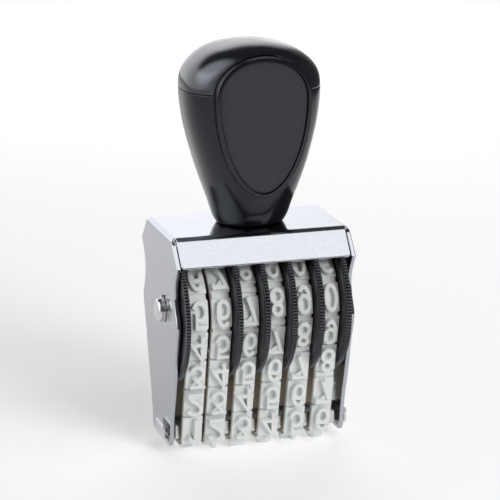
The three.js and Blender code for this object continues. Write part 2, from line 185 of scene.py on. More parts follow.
def satin_steel():
    m = Nodes("satin_steel", (0.60, 0.595, 0.585), 0.2, metallic=1.0)
    grain = m.noise(1, 3.0, m.stretched((500, 1500, 1500)))
    m.roughness(grain, 0.16, 0.24)
    return m.material


def gloss_black():
    m = Nodes("gloss_black", (0.0045, 0.005, 0.0068), 0.16, specular=0.95)
    m.set(m.bsdf, "Specular Tint", COOL)
    m.roughness(m.noise(160, 4.0), 0.12, 0.2)
    m.bump(m.noise(110, 1.0), 0.15, 0.03)
    m.bump(m.noise(2600, 2.0), 0.08, 0.004)
    return m.material


def satin_black():
    m = Nodes("satin_black", (0.0055, 0.006, 0.0078), 0.16, specular=0.45)
    m.set(m.bsdf, "Specular Tint", COOL)
    m.roughness(m.noise(300, 4.0), 0.12, 0.19)
    m.bump(m.noise(3200, 3.0), 0.15, 0.004)
    m.bump(m.noise(110, 1.0), 0.08, 0.02)
    return m.material


def label_grey():
    m = Nodes("label_grey", (0.034, 0.036, 0.040), 0.55, specular=0.35)
    m.tint(m.noise(1800, 4.0), (0.027, 0.029, 0.034), (0.033, 0.035, 0.041))
    m.roughness(m.noise(1500, 3.0), 0.52, 0.6)
    m.bump(m.noise(4200, 3.0), 0.25, 0.008)
    return m.material


def wheel_black():
    m = Nodes("wheel_black", (0.014, 0.015, 0.018), 0.34, specular=0.6)
    m.set(m.bsdf, "Specular Tint", COOL)
    xyz = m.axes()
    y = m.maths("SUBTRACT", xyz["Y"], (AXLE_Y + SHIFT_Y) * MM)
    z = m.maths("SUBTRACT", xyz["Z"], AXLE_Z * MM)
    out = m.maths("SQRT", m.maths("ADD", m.maths("MULTIPLY", y, y), m.maths("MULTIPLY", z, z)))
    # painted highlight: paler at the tips of the teeth, for the glints they catch; the noise adds a random
    # tone
    painted_tip_glint = map_range(m.tree, out, (WHEEL_R - 0.3) * MM, (WHEEL_R - 0.03) * MM, 0.0, 0.7)
    tone_and_tip_glint = m.maths("ADD", m.maths("MULTIPLY", m.noise(420, 4.0), 0.3), painted_tip_glint)
    m.tint(tone_and_tip_glint, (0.005, 0.0055, 0.0075), (0.1, 0.103, 0.115), 0.1, 1.0)
    m.roughness(m.noise(600, 3.0), 0.3, 0.42)
    m.bump(m.noise(2600, 3.0), 0.2, 0.01)
    return m.material


def grey_rubber():
    m = Nodes("grey_rubber", (0.74, 0.76, 0.745), 0.62, specular=0.35)
    m.tint(m.noise(260, 5.0), (0.67, 0.693, 0.68), (0.715, 0.735, 0.722))
    m.roughness(m.noise(500, 3.0), 0.55, 0.7)
    m.bump(m.noise(1400, 4.0), 0.2, 0.015)
    m.bump(m.noise(240, 1.0), 0.15, 0.05)
    return m.material


def brown_canvas():
    """Plain weave of a thread every 0.21 mm, laid along the band by its own UV map in mm."""
    m = Nodes("brown_canvas", (0.2, 0.15, 0.1), 0.85, specular=0.2, coords="along_band")
    xyz, turn = m.axes(), 2 * math.pi / 0.42  # the weave repeats after two threads
    warp = m.maths("SINE", m.maths("MULTIPLY", xyz["X"], turn))
    weft = m.maths("SINE", m.maths("MULTIPLY", xyz["Y"], turn))
    over = m.maths("MULTIPLY", warp, weft)
    height = m.maths("ADD", m.maths("MULTIPLY", over, 0.5), m.noise(9, 4.0))
    # painted shade: the colour follows the height, darker where the weave dips and lighter on the threads;
    # the noise adds a slow random tone
    m.tint(height, (0.42, 0.34, 0.27), (0.82, 0.71, 0.59), 0.1, 0.95)
    m.bump(height, 0.8, 0.06)
    return m.material


def floor_white():
    m = Nodes("floor_white", (0.88, 0.88, 0.885), 0.9, specular=0.0)
    m.set(m.bsdf, "Emission Color", (1, 1, 1, 1))
    m.set(m.bsdf, "Emission Strength", FLOOR_GLOW)
    return m.material


MATERIALS = {
    "chrome_sheet": chrome_sheet(), "steel": satin_steel(), "black_gloss": gloss_black(),
    "black_body": satin_black(), "label": label_grey(), "wheel": wheel_black(),
    "rubber": grey_rubber(), "fabric": brown_canvas(),
}


# ---- Meshes ----
def to_object(name, verts, faces):
    """Points in mm and in the CAD source's frame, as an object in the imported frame."""
    mesh = bpy.data.meshes.new(name)
    mesh.from_pydata([(x * MM, (y + SHIFT_Y) * MM, z * MM) for x, y, z in verts], [], faces)
    bm = bmesh.new()
    bm.from_mesh(mesh)
    bmesh.ops.recalc_face_normals(bm, faces=bm.faces)
    bm.to_mesh(mesh)
    bm.free()
    o = bpy.data.objects.new(name, mesh)
    bpy.context.scene.collection.objects.link(o)
    return o


def finish_piece(o, slot, body, nodes, sharp=32.0):
    """Smooth shading between sharp edges, material, body, and the CAD nodes it stands for."""
    o.data.polygons.foreach_set("use_smooth", [True] * len(o.data.polygons))
    o.data.set_sharp_from_angle(angle=math.radians(sharp))
    weighted = o.modifiers.new("weighted", "WEIGHTED_NORMAL")
    weighted.keep_sharp = True
    weighted.weight = 60  # large faces count for a little more
    o.data.materials.clear()
    o.data.materials.append(MATERIALS[slot])
    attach(o, body)
    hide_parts(*nodes)


def unit(v):
    """The 2D vector with length 1, or (0, 0) where it has no direction."""
    n = math.hypot(*v)
    return (v[0] / n, v[1] / n) if n > 1e-12 else (0.0, 0.0)


def inset_loop(loop, d):
    """The closed loop moved by d to its left, which is into the material."""
    out, n = [], len(loop)
    for i, p in enumerate(loop):
        a = unit((p[0] - loop[i - 1][0], p[1] - loop[i - 1][1]))
        q = loop[(i + 1) % n]
        b = unit((q[0] - p[0], q[1] - p[1]))
        m = unit((-a[1] - b[1], a[0] + b[0]))
        k = max(0.5, -m[0] * a[1] + m[1] * a[0])
        out.append((p[0] + m[0] * d / k, p[1] + m[1] * d / k))
    return out


def area(loop):
    """Signed area, positive where the loop runs anticlockwise."""
    return sum(a[0] * b[1] - b[0] * a[1] for a, b in zip(loop, loop[1:] + loop[:1])) / 2


def slab(outer, holes, levels):
    """A solid over a flat outline with holes. Levels are (height, inset), from the bottom cap to the top."""
    loops = [outer if area(outer) > 0 else outer[::-1]]
    loops += [h if area(h) < 0 else h[::-1] for h in holes]
    verts, faces, starts = [], [], []
    for h, inset in levels:
        starts.append(len(verts))
        for loop in loops:
            verts += [(u, v, h) for u, v in inset_loop(loop, inset)]
    for low, high in zip(starts, starts[1:]):
        at = 0
        for loop in loops:
            n = len(loop)
            for i in range(n):
                j = (i + 1) % n
                faces.append((low + at + i, low + at + j, high + at + j, high + at + i))
            at += n
    for start, flip in ((starts[0], True), (starts[-1], False)):
        at, polys = start, []
        for loop in loops:
            polys.append([Vector((*verts[at + i][:2], 0)) for i in range(len(loop))])
            at += len(loop)
        for t in tessellate_polygon(polys):
            t = [start + i for i in t]
            faces.append(tuple(t[::-1] if flip else t))
    return verts, faces


def round_levels(h0, h1, r, steps=3):
    """Levels of a slab from h0 to h1 with both rims rounded to radius r."""
    ts = [math.pi / 2 * i / steps for i in range(steps + 1)]
    low = [(h0 + r * (1 - math.cos(t)), r * (1 - math.sin(t))) for t in ts]
    return low + [(h0 + h1 - h, d) for h, d in reversed(low)]


def mapped(verts, f):
    """The points sent through f(u, v, w)."""
    return [f(*v) for v in verts]


def cut_along(verts, faces, axis, places):
    """Splits every face at these places on one axis, so that it can be bent there."""
    bm = bmesh.new()
    made = [bm.verts.new(v) for v in verts]
    for f in faces:
        if len(set(f)) == len(f):
            try:
                bm.faces.new([made[i] for i in f])
            except ValueError:  # the same face for the second time
                pass
    no = Vector([float(i == axis) for i in range(3)])
    for c in places:
        bmesh.ops.bisect_plane(bm, geom=bm.verts[:] + bm.edges[:] + bm.faces[:], dist=1e-5,
                               plane_co=no * c, plane_no=no)
    bm.verts.index_update()
    out = [tuple(v.co) for v in bm.verts], [tuple(v.index for v in f.verts) for f in bm.faces]
    bm.free()
    return out


def join(parts):
    """Several (verts, faces) as one."""
    verts, faces = [], []
    for v, f in parts:
        faces += [tuple(i + len(verts) for i in face) for face in f]
        verts += v
    return verts, faces


def lathe(profile, steps, place, radius_at=None):
    """A closed profile of (radius, axial), turned round. radius_at(r, angle) may shape the rim."""
    n, verts, faces = len(profile), [], []
    for k in range(steps):
        t = 2 * math.pi * k / steps
        for r, a in profile:
            rr = radius_at(r, t) if radius_at else r
            verts.append(place(rr * math.cos(t), rr * math.sin(t), a))
    for k in range(steps):
        q = (k + 1) % steps
        for i in range(n):
            j = (i + 1) % n
            faces.append((k * n + i, k * n + j, q * n + j, q * n + i))
    return verts, faces


def circle(cu, cv, r, n=64):
    """A closed outline, as rounded_rect() gives too."""
    ts = [2 * math.pi * i / n for i in range(n)]
    return [(cu + r * math.cos(t), cv + r * math.sin(t)) for t in ts]


def rounded_rect(u0, u1, v0, v1, r, n=6):
    out = []
    left, right, low, high = u0 + r, u1 - r, v0 + r, v1 - r
    for cu, cv, a0 in ((right, high, 0), (left, high, 90), (left, low, 180), (right, low, 270)):
        for i in range(n + 1):
            a = math.radians(a0 + 90 * i / n)
            out.append((cu + r * math.cos(a), cv + r * math.sin(a)))
    return out


def arc(cx, cy, rx, ry, a0, a1, n):
    """Points on an oval between two angles in degrees."""
    ts = [math.radians(a0 + (a1 - a0) * i / n) for i in range(n + 1)]
    return [(cx + rx * math.cos(t), cy + ry * math.sin(t)) for t in ts]


def spline(points, n):
    """Uniform Catmull-Rom line through the points."""
    pts, out = [np.array(p, float) for p in points], []
    for i in range(n + 1):
        t = (len(pts) - 1) * i / n
        k = min(int(t), len(pts) - 2)
        w = t - k
        p0, p1, p2, p3 = pts[max(k - 1, 0)], pts[k], pts[k + 1], pts[min(k + 2, len(pts) - 1)]
        v0, v1 = (p2 - p0) / 2, (p3 - p1) / 2
        cubic, square = 2 * p1 - 2 * p2 + v0 + v1, -3 * p1 + 3 * p2 - 2 * v0 - v1
        out.append(tuple(cubic * w**3 + square * w**2 + v0 * w + p1))
    return out


def four_ways(quarter):
    """A closed outline from its quarter in x > 0, y > 0, run from the right to the top."""
    back = quarter[::-1]
    return ([(x, y) for x, y in quarter] + [(-x, y) for x, y in back]
            + [(-x, -y) for x, y in quarter] + [(x, -y) for x, y in back])


# ---- Frame: one flat blank with rounded rims, folded at its four bends ----
SIDE_R, APRON_R = 1.2, 2.3
APRON_OUT, APRON_DROP = FLARE_HALF_D - 0.05 - TOP_HALF_D, TOP - FLARE_Z
APRON_ANGLE = math.atan2(APRON_DROP, APRON_OUT)
SIDE_FOLD = HALF_W - SIDE_R  # where a bend starts in the blank
APRON_FOLD = TOP_HALF_D - APRON_R * math.tan(APRON_ANGLE / 2)
APRON_REACH = (APRON_R * APRON_ANGLE + math.hypot(APRON_DROP, APRON_OUT)
               - APRON_R * math.tan(APRON_ANGLE / 2))
APRON_HALF_W = HALF_W - SHEET - 0.12
AXLE_PLAY, SLOT_PLAY = 0.15, 0.12
# The side plate's edge under the flare: (half depth, distance under the top).
SIDE_EDGE = [(12.4, 9.2), (12.0, 11.9), (12.7, 14.6), (13.9, 17.2), (13.9, 19.2), (12.1, 24.6), (11.3, 28.0),
             (9.9, 32.8), (8.3, 37.9), (7.4, 42.6)]
FOOT_HALF_D, FOOT_R = 7.3, 1.4
TAB_HALF = 3.2  # half width of the tray's ends, which go through the side plates


def folded(t, d, r, angle):
    """(outward, down) of a point t past a fold's start and d under the outer face."""
    if t < r * angle:
        a = t / r
        return (r - d) * math.sin(a), r - (r - d) * math.cos(a)
    rest = t - r * angle
    return ((r - d) * math.sin(angle) + rest * math.cos(angle),
            r - (r - d) * math.cos(angle) + rest * math.sin(angle))


def on_side(z):
    """Blank coordinate along the side plate at height z."""
    return SIDE_FOLD + SIDE_R * math.pi / 2 + (TOP - SIDE_R - z)


def fold_frame(u, v, w):
    """A point of the blank, w over its inner face, on the folded frame."""
    d = SHEET - w
    if abs(v) > APRON_FOLD and abs(u) < APRON_HALF_W + 0.01:
        out, down = folded(abs(v) - APRON_FOLD, d, APRON_R, APRON_ANGLE)
        return u, math.copysign(APRON_FOLD + out, v), TOP - down
    if abs(u) > SIDE_FOLD:
        out, down = folded(abs(u) - SIDE_FOLD, d, SIDE_R, math.pi / 2)
        return math.copysign(SIDE_FOLD + out, u), v, TOP - down
    return u, v, TOP - d


def bend_places(start, length, steps):
    """Where to cut the blank for a bend on each side of the middle."""
    places = [start + length * i / steps for i in range(steps + 1)]
    return places + [-p for p in places]


def make_frame():
    """The sheet, cut as one blank with its holes and folded down at four bends."""
    knots = [(FLARE_HALF_D, FLARE_Z)] + [(h, TOP - down) for h, down in SIDE_EDGE]
    edge = spline(knots + [(FOOT_HALF_D, PLATE_BOTTOM + FOOT_R)], 90)
    foot = arc(FOOT_HALF_D - FOOT_R, PLATE_BOTTOM + FOOT_R, FOOT_R, FOOT_R, 0, -90, 8)[1:]
    side = [(on_side(z), y) for y, z in edge + foot][::-1]
    quarter = side + [(on_side(TOP - 1.0), 10.7), (SIDE_FOLD + 1.0, 9.95)]
    quarter += [(SIDE_FOLD + 0.4, APRON_FOLD + 0.4), (APRON_HALF_W, APRON_FOLD + 0.6)]
    reach = APRON_FOLD + APRON_REACH
    quarter += arc(APRON_HALF_W - 0.7, reach - 0.7, 0.7, 0.7, 0, 90, 6)
    holes = []
    for s in (-1, 1):
        holes.append(circle(s * on_side(AXLE_Z), AXLE_Y, AXLE_R + AXLE_PLAY))
        low, high = PLATEN_BOTTOM - SLOT_PLAY, PLATEN_BOTTOM + PLATEN_T + SLOT_PLAY
        ends = sorted((s * on_side(low), s * on_side(high)))
        half = TAB_HALF + 0.15
        holes.append(rounded_rect(*ends, PLATEN_Y - half, PLATEN_Y + half, 0.3))
    v, f = slab(four_ways(quarter), holes, round_levels(0, SHEET, 0.2))
    v, f = cut_along(v, f, 0, bend_places(SIDE_FOLD, SIDE_R * math.pi / 2, 10))
    v, f = cut_along(v, f, 1, bend_places(APRON_FOLD, APRON_R * APRON_ANGLE, 10))
    o = to_object("frame_sheet", mapped(v, fold_frame), f)
    finish_piece(o, "chrome_sheet", BODY, ["frame"])


# ---- Platen: a folded tray, open upwards ----
END_R, WALL_HALF_L = 1.0, 17.5  # bend of the tray's ends; length of its long walls


def make_platen():
    """The tray, cut as one blank and folded up on all four sides."""
    fold_x, fold_y = PLATEN_HALF_L - END_R, PLATEN_D / 2 - PLATEN_R
    side = PLATEN_R * math.pi / 2 + PLATEN_H - PLATEN_R
    end = END_R * math.pi / 2 + PLATEN_H - END_R

    def fold(u, v, w):
        d = PLATEN_T - w
        if abs(v) > fold_y and abs(u) < WALL_HALF_L + 0.25:
            out, up = folded(abs(v) - fold_y, d, PLATEN_R, math.pi / 2)
            return u, PLATEN_Y + math.copysign(fold_y + out, v), PLATEN_BOTTOM + up
        if abs(u) > fold_x:
            out, up = folded(abs(u) - fold_x, d, END_R, math.pi / 2)
            return math.copysign(fold_x + out, u), PLATEN_Y + v, PLATEN_BOTTOM + up
        return u, PLATEN_Y + v, PLATEN_BOTTOM + d

    notch = WALL_HALF_L + 0.5  # cut clear between the long walls and the ends
    quarter = arc(fold_x + end - 0.6, TAB_HALF - 0.6, 0.6, 0.6, 0, 90, 6)
    quarter += [(notch, TAB_HALF), (notch, fold_y - 0.05), (WALL_HALF_L, fold_y - 0.05)]
    quarter += arc(WALL_HALF_L - 0.4, fold_y + side - 0.4, 0.4, 0.4, 0, 90, 4)
    v, f = slab(four_ways(quarter), [], round_levels(0, PLATEN_T, 0.14))
    v, f = cut_along(v, f, 0, bend_places(fold_x, END_R * math.pi / 2, 8))
    v, f = cut_along(v, f, 1, bend_places(fold_y, PLATEN_R * math.pi / 2, 8))
    o = to_object("platen_tray", mapped(v, fold), f)
    finish_piece(o, "steel", BODY, ["platen"])


# ---- Axle and clips ----
CLIP_R, CLIP_T = 2.56, 0.4
CLIP_START, CLIP_END = -55, 235  # degrees; the ring is open below
LUG_H, LUG_AT, LUG_SPREAD = 0.72, 92, 42  # height in mm, middle and half width in degrees


def about_axle(y, z, x):
    """A point given from the axle's line."""
    return x, AXLE_Y + y, AXLE_Z + z


def make_axle():
    """The pin and its two snap rings."""
    r, groove = 0.55, 0.24  # rounding of the ends; half width of the groove
    half = [(0.001, AXLE_HALF_L)]
    half += [(AXLE_R - r + r * math.sin(t), AXLE_HALF_L - r + r * math.cos(t))
             for t in (math.pi / 2 * i / 6 for i in range(7))]
    half += [(AXLE_R, CLIP_X + groove + 0.04), (AXLE_R - 0.04, CLIP_X + groove), (GROOVE_R, CLIP_X + groove)]
    half += [(GROOVE_R, CLIP_X - groove), (AXLE_R - 0.04, CLIP_X - groove), (AXLE_R, CLIP_X - groove - 0.04)]
    half += [(AXLE_R, 10)]
    profile = half + [(r, -x) for r, x in reversed(half)]
    v, f = lathe(profile, 72, about_axle)
    finish_piece(to_object("axle_pin", v, f), "steel", BODY, ["axle"])
    outside, steps = [], 72
    for i in range(steps + 1):
        t = CLIP_START + (CLIP_END - CLIP_START) * i / steps
        r = CLIP_R + LUG_H * max(0, 1 - abs(t - LUG_AT) / LUG_SPREAD)
        outside.append((r * math.cos(math.radians(t)), r * math.sin(math.radians(t))))
    inner = GROOVE_R + 0.06
    outline = outside + arc(0, 0, inner, inner, CLIP_END, CLIP_START, 44)
    for name, x in (("clip_left", -CLIP_X), ("clip_right", CLIP_X)):
        v, f = slab(outline, [], round_levels(x - CLIP_T / 2, x + CLIP_T / 2, 0.06, 2))
        finish_piece(to_object("snap_" + name, mapped(v, about_axle), f), "steel", BODY, [name])


# ---- Thumb wheels ----
TEETH, TOOTH_H = 140, 0.52
TIP_POWER = 0.65  # under 1 for broad tips and narrow valleys
RIM_IN = 13.1  # inner radius of the raised rim


def make_wheel(k, rim_x, towards):
    """Wheel k with its rim centred at rim_x and its drum on the side that towards points to."""
    half = WHEEL_T / 2
    far = half + WHEEL_GAP + BAND_W - 0.11  # end of the drum
    profile = [(BORE_R, -half + 0.1), (BORE_R + 0.1, -half), (4.9, -half), (5.2, -half + 0.14),
               (RIM_IN, -half + 0.14), (RIM_IN + 0.35, -half), (WHEEL_R - 0.5, -half),
               (WHEEL_R - 0.12, -half + 0.02), (WHEEL_R, -half + 0.12), (WHEEL_R, half - 0.12),
               (WHEEL_R - 0.12, half - 0.02), (WHEEL_R - 0.5, half), (RIM_IN + 0.4, half),
               (RIM_IN + 0.2, half + 0.05), (RIM_IN + 0.1, half + 0.2),
               (DRUM_R + 0.15, half + 0.2), (DRUM_R, half + 0.32),
               (DRUM_R, far - 0.2), (DRUM_R - 0.2, far), (BORE_R + 0.1, far), (BORE_R, far - 0.1)]

    def teeth(r, t):
        if r < WHEEL_R - 0.3:  # inside the rim
            return r
        c = 0.5 + 0.5 * math.cos(TEETH * t)
        return r - TOOTH_H * (1 - c**TIP_POWER)

    v, f = lathe(profile, TEETH * 6, lambda y, z, a: about_axle(y, z, rim_x + towards * a), teeth)
    o = to_object(f"thumb_wheel_{k}_moulded", v, f)
    finish_piece(o, "wheel", f"wheel_{k}", [f"thumb_wheel_{k}"], 40)


# ---- Track of a band: front corner of the platen, over the drum, rear corner ----
CORNER = PLATEN_D / 2 - PLATEN_R
ROLLERS = [(PLATEN_Y - CORNER, PLATEN_BOTTOM + PLATEN_R, PLATEN_R), (AXLE_Y, AXLE_Z, DRUM_R),
           (PLATEN_Y + CORNER, PLATEN_BOTTOM + PLATEN_R, PLATEN_R)]
NEUTRAL = (FABRIC_IN + FABRIC_OUT) / 2


def run_normal(i):
    """Angle of the outward normal on the straight run after roller i."""
    (ay, az, ar), (by, bz, br) = ROLLERS[i], ROLLERS[(i + 1) % 3]
    return math.atan2(bz - az, by - ay) + math.acos((ar - br) / math.hypot(by - ay, bz - az))


NORMALS = [run_normal(i) for i in range(3)]
TRACK = []  # (length, roller, first normal, is it an arc)
for i, (y, z, r) in enumerate(ROLLERS):
    n = ROLLERS[(i + 1) % 3]
    turn = (NORMALS[i - 1] - NORMALS[i]) % (2 * math.pi)
    TRACK.append((turn * (r + NEUTRAL), ROLLERS[i], NORMALS[i - 1], True))
    run = math.sqrt((n[0] - y) ** 2 + (n[1] - z) ** 2 - (n[2] - r) ** 2)
    TRACK.append((run, ROLLERS[i], NORMALS[i], False))
PRINT_RUN = TRACK[-1][0]
LENGTH = sum(t[0] for t in TRACK)
CELL = (LENGTH - SPLICE) / CELLS


def track_at(s, off):
    """(y, z) at distance s from the middle of the printing run and off outside the platen's surface."""
    s = (s - PRINT_RUN / 2) % LENGTH
    for length, (cy, cz, r), a, is_arc in TRACK:
        if s <= length:
            break
        s -= length
    if is_arc:
        a -= s / (r + NEUTRAL)
        s = 0.0
    ny, nz = math.cos(a), math.sin(a)
    return cy + ny * (r + off) + nz * s, cz + nz * (r + off) - ny * s


FRONT = PRINT_RUN / 2 + TRACK[0][0]  # where the straight front run starts
REAR = LENGTH - PRINT_RUN / 2 - TRACK[4][0]  # where the straight rear run ends


def block_point(home, t, off):
    """(y, z) on a block centred at distance home. It bends round the drum, not round the platen's corners."""
    home = (home + LENGTH / 2) % LENGTH - LENGTH / 2
    # on the drum the gaps open, not the blocks
    if REAR - TRACK[3][0] > home % LENGTH > FRONT + TRACK[1][0]:
        t *= (DRUM_R + NEUTRAL) / (DRUM_R + BLOCK_OUT)
    s = home + t
    lo, hi = (-PRINT_RUN / 2, PRINT_RUN / 2) if abs(home) < 1 else (FRONT, REAR)
    if abs(home) >= 1:
        s %= LENGTH
        if home < 0 and s < FRONT:
            s += LENGTH
    c = min(max(s, lo), hi)
    y, z = track_at(c, off)
    if c == s:
        return y, z
    # past the end of its run the block goes straight on
    e = 1e-3 if c < (lo + hi) / 2 else -1e-3
    y2, z2 = track_at(c + e, off)
    return y + (y2 - y) / e * (s - c), z + (z2 - z) / e * (s - c)


def make_fabric(k, x):
    """Band k's canvas, with a UV map of the distance along the band."""
    half, r = BAND_W / 2, 0.12
    low, high = FABRIC_IN, FABRIC_OUT
    section = [(-half + r, low), (-half, low + r), (-half, high - r), (-half + r, high)]
    section += [(-half + 2 * half * i / 8, high) for i in range(1, 8)]
    section += [(half - r, high), (half, high - r), (half, low + r), (half - r, low)]
    n, m, verts, faces = 260, len(section), [], []
    for j in range(n):
        for u, off in section:
            verts.append((x + u, *track_at(LENGTH * j / n, off)))
    for j in range(n):
        for i in range(m):
            q, p = (j + 1) % n, (i + 1) % m
            faces.append((j * m + i, j * m + p, q * m + p, q * m + i))
    o = to_object(f"band_{k}_canvas", verts, faces)
    uv = o.data.uv_layers.new(name="along_band")
    for poly in o.data.polygons:
        rows = [o.data.loops[li].vertex_index // m for li in poly.loop_indices]
        wrap = max(rows) - min(rows) > n / 2
        for li, row in zip(poly.loop_indices, rows):
            i = o.data.loops[li].vertex_index % m
            s = LENGTH * (row + (n if wrap and row < n / 2 else 0)) / n
            uv.data[li].uv = (s, section[i][0] + section[i][1])
    finish_piece(o, "fabric", BODY, [f"band_fabric_{k}"], 50)


# ---- Characters: strokes in a cell 0.72 wide and 1 high, joined into one outline ----
def ring(cx, cy, rx, ry):
    """A closed oval, given by its outer radii."""
    return ("ring", cx, cy, rx, ry)


CHARACTERS = {
    "0": [ring(0, 0, 0.31, 0.5)],
    "1": [[(-0.2, 0.24), (0.1, 0.47), (0.1, -0.5)]],
    "2": [arc(0, 0.21, 0.27, 0.22, 170, -38, 14)
          + [(0.06, -0.07), (-0.12, -0.18), (-0.23, -0.3), (-0.26, -0.42), (0.35, -0.42)]],
    "3": [[(-0.27, 0.42), (0.24, 0.42), (-0.04, 0.1)] + arc(0, -0.16, 0.27, 0.265, 85, -155, 14)],
    "4": [[(0.14, -0.5), (0.14, 0.44), (-0.28, -0.17), (0.36, -0.17)]],
    "5": [[(0.34, 0.42), (-0.12, 0.42), (-0.14, 0.1)] + arc(0, -0.13, 0.26, 0.29, 118, -160, 14)],
    "6": [ring(0.02, -0.145, 0.31, 0.355), arc(0.02, 0, 0.23, 0.43, 40, 185, 14)],
    "7": [[(-0.3, 0.26), (-0.28, 0.42), (0.25, 0.42), (-0.1, -0.5)]],
    "8": [ring(0, 0.245, 0.27, 0.255), ring(0, -0.2, 0.32, 0.3)],
    "9": [ring(0, 0.145, 0.31, 0.355), arc(0, 0, 0.23, 0.43, 220, 365, 14)],
    "euro": [arc(0.06, 0, 0.27, 0.42, 50, 310, 16),
             [(-0.36, 0.1), (0.14, 0.1)], [(-0.36, -0.1), (0.14, -0.1)]],
    "dot": [[(-0.09, -0.42), (0.09, -0.42)]],
    "slash": [[(-0.27, -0.48), (0.27, 0.48)]],
    "dash": [[(-0.26, 0), (0.26, 0)]],
}
SEQUENCE = ["dash", "1", "2", "3", "4", "5", "6", "7", "8", "9", "0", "euro", "dot", "slash"]
AFTER_SPLICE = SEQUENCE.index("8")
SCALE_X, SCALE_Y = CHARACTER_W / 0.72, -CHARACTER_H  # mirror-image type


def stroke_quads(points, closed, width):
    """Quads along a line of the given width, with mitred corners."""
    n, sides = len(points), []
    for i, p in enumerate(points):
        a = points[i - 1] if closed or i else p
        b = points[(i + 1) % n] if closed or i < n - 1 else p
        u, w = unit((p[0] - a[0], p[1] - a[1])), unit((b[0] - p[0], b[1] - p[1]))
        u = u if u != (0.0, 0.0) else w
        w = w if w != (0.0, 0.0) else u
        m = unit((-u[1] - w[1], u[0] + w[0]))
        k = width / 2 / max(0.45, -m[0] * u[1] + m[1] * u[0])
        sides.append(((p[0] + m[0] * k, p[1] + m[1] * k), (p[0] - m[0] * k, p[1] - m[1] * k)))
    last = n if closed else n - 1
    return [[sides[i][1], sides[(i + 1) % n][1], sides[(i + 1) % n][0], sides[i][0]] for i in range(last)]


def character_loops(name):
    """The outline loops of a character, material on the left, as mirror-image type."""
    sx, sy, quads = SCALE_X, SCALE_Y, []
    for piece in CHARACTERS[name]:
        if piece[0] == "ring":
            _, cx, cy, rx, ry = piece
            h = STROKE / 2
            line = arc(cx * sx, cy * sy, rx * sx - h, -ry * sy - h, 0, 360, 32)[:-1]
            quads += stroke_quads(line, True, STROKE)
        else:
            quads += stroke_quads([(x * sx, y * sy) for x, y in piece], False, STROKE)
    coords = [Vector(p) for q in quads for p in q]
    polys = [[4 * i + j for j in (range(4) if area(q) > 0 else (3, 2, 1, 0))] for i, q in enumerate(quads)]
    v, _, f, _, _, origin = delaunay_2d_cdt(coords, [], polys, 0, 1e-4)
    directed = set()
    for tri, src in zip(f, origin):
        if src:
            directed |= {(a, b) for a, b in zip(tri, tri[1:] + tri[:1])}
    after = {a: b for a, b in directed if (b, a) not in directed}
    loops = []
    while after:
        start = a = next(iter(after))
        loop = []
        while a in after:
            loop.append(tuple(v[a]))
            a = after.pop(a)
        if a == start and len(loop) > 2:
            loops.append(loop)
    return [thinned(loop) for loop in loops if abs(area(loop)) > 0.03]  # slivers are dropped


def thinned(loop):
    """Without points that lie closer than 0.06 mm to the last one."""
    out = [loop[0]]
    for p in loop[1:]:
        if math.dist(p, out[-1]) > 0.06:
            out.append(p)
    return out if math.dist(out[0], out[-1]) > 0.06 else out[:-1]


# A character's flanks: (height, inset) from its sloping foot to its soft face.
RELIEF = [(BLOCK_OUT - 0.12, -0.14), (BLOCK_OUT + 0.1, -0.09), (BLOCK_OUT + 0.5, -0.03),
          (FACE_OUT - 0.14, 0), (FACE_OUT - 0.04, 0.03), (FACE_OUT, 0.1)]


def raised(loops, levels):
    """A slab over each outer loop, with the holes that lie in it."""
    outers = [loop for loop in loops if area(loop) > 0]
    holes = [loop for loop in loops if area(loop) < 0]
    parts = []
    for outer in outers:
        inside = [h for h in holes if holds(outer, h[0])]
        parts.append(slab(outer, inside, levels))
    return join(parts)


def holds(loop, p):
    """Whether the point lies inside the loop."""
    odd = False
    for a, b in zip(loop, loop[1:] + loop[:1]):
        if (a[1] > p[1]) != (b[1] > p[1]):
            if p[0] < a[0] + (p[1] - a[1]) / (b[1] - a[1]) * (b[0] - a[0]):
                odd = not odd
    return odd


# Webs that stiffen a corner of a character, a little lower than its face.
WEBS = {
    "2": [(-0.22, -0.36), (0.3, -0.36), (-0.06, -0.1)],
    "3": [(-0.22, 0.36), (0.18, 0.36), (0.0, 0.12)],
    "7": [(-0.25, 0.36), (0.2, 0.36), (0.1, 0.08)],
}
GLYPHS = {}


def web(name):
    points = [(x * SCALE_X, y * SCALE_Y) for x, y in WEBS[name]]
    points = points if area(points) > 0 else points[::-1]
    return slab(points, [], [(BLOCK_OUT - 0.1, 0), (FACE_OUT - 0.42, 0), (FACE_OUT - 0.36, 0.06)])


def glyph(name):
    """A character as (verts, faces), made once, with cuts so that it can bend."""
    if name not in GLYPHS:
        v, f = raised(character_loops(name), RELIEF)
        if name in WEBS:
            v, f = join([(v, f), web(name)])
        GLYPHS[name] = cut_along(v, f, 1, [-2, -1, 0, 1, 2])
    return GLYPHS[name]


def make_block():
    """A block's plinth: flat top and soft rims."""
    half_l, half_w = (CELL - BLOCK_GAP) / 2, BAND_W / 2
    v, f = slab(rounded_rect(-half_w, half_w, -half_l, half_l, 0.16, 3), [],
                [(RUBBER_OUT - 0.3, -0.03), (BLOCK_OUT - 0.12, 0), (BLOCK_OUT - 0.04, 0.04),
                 (BLOCK_OUT, 0.14)])
    return cut_along(v, f, 1, [-2.4, -1.6, -0.8, 0, 0.8, 1.6, 2.4])


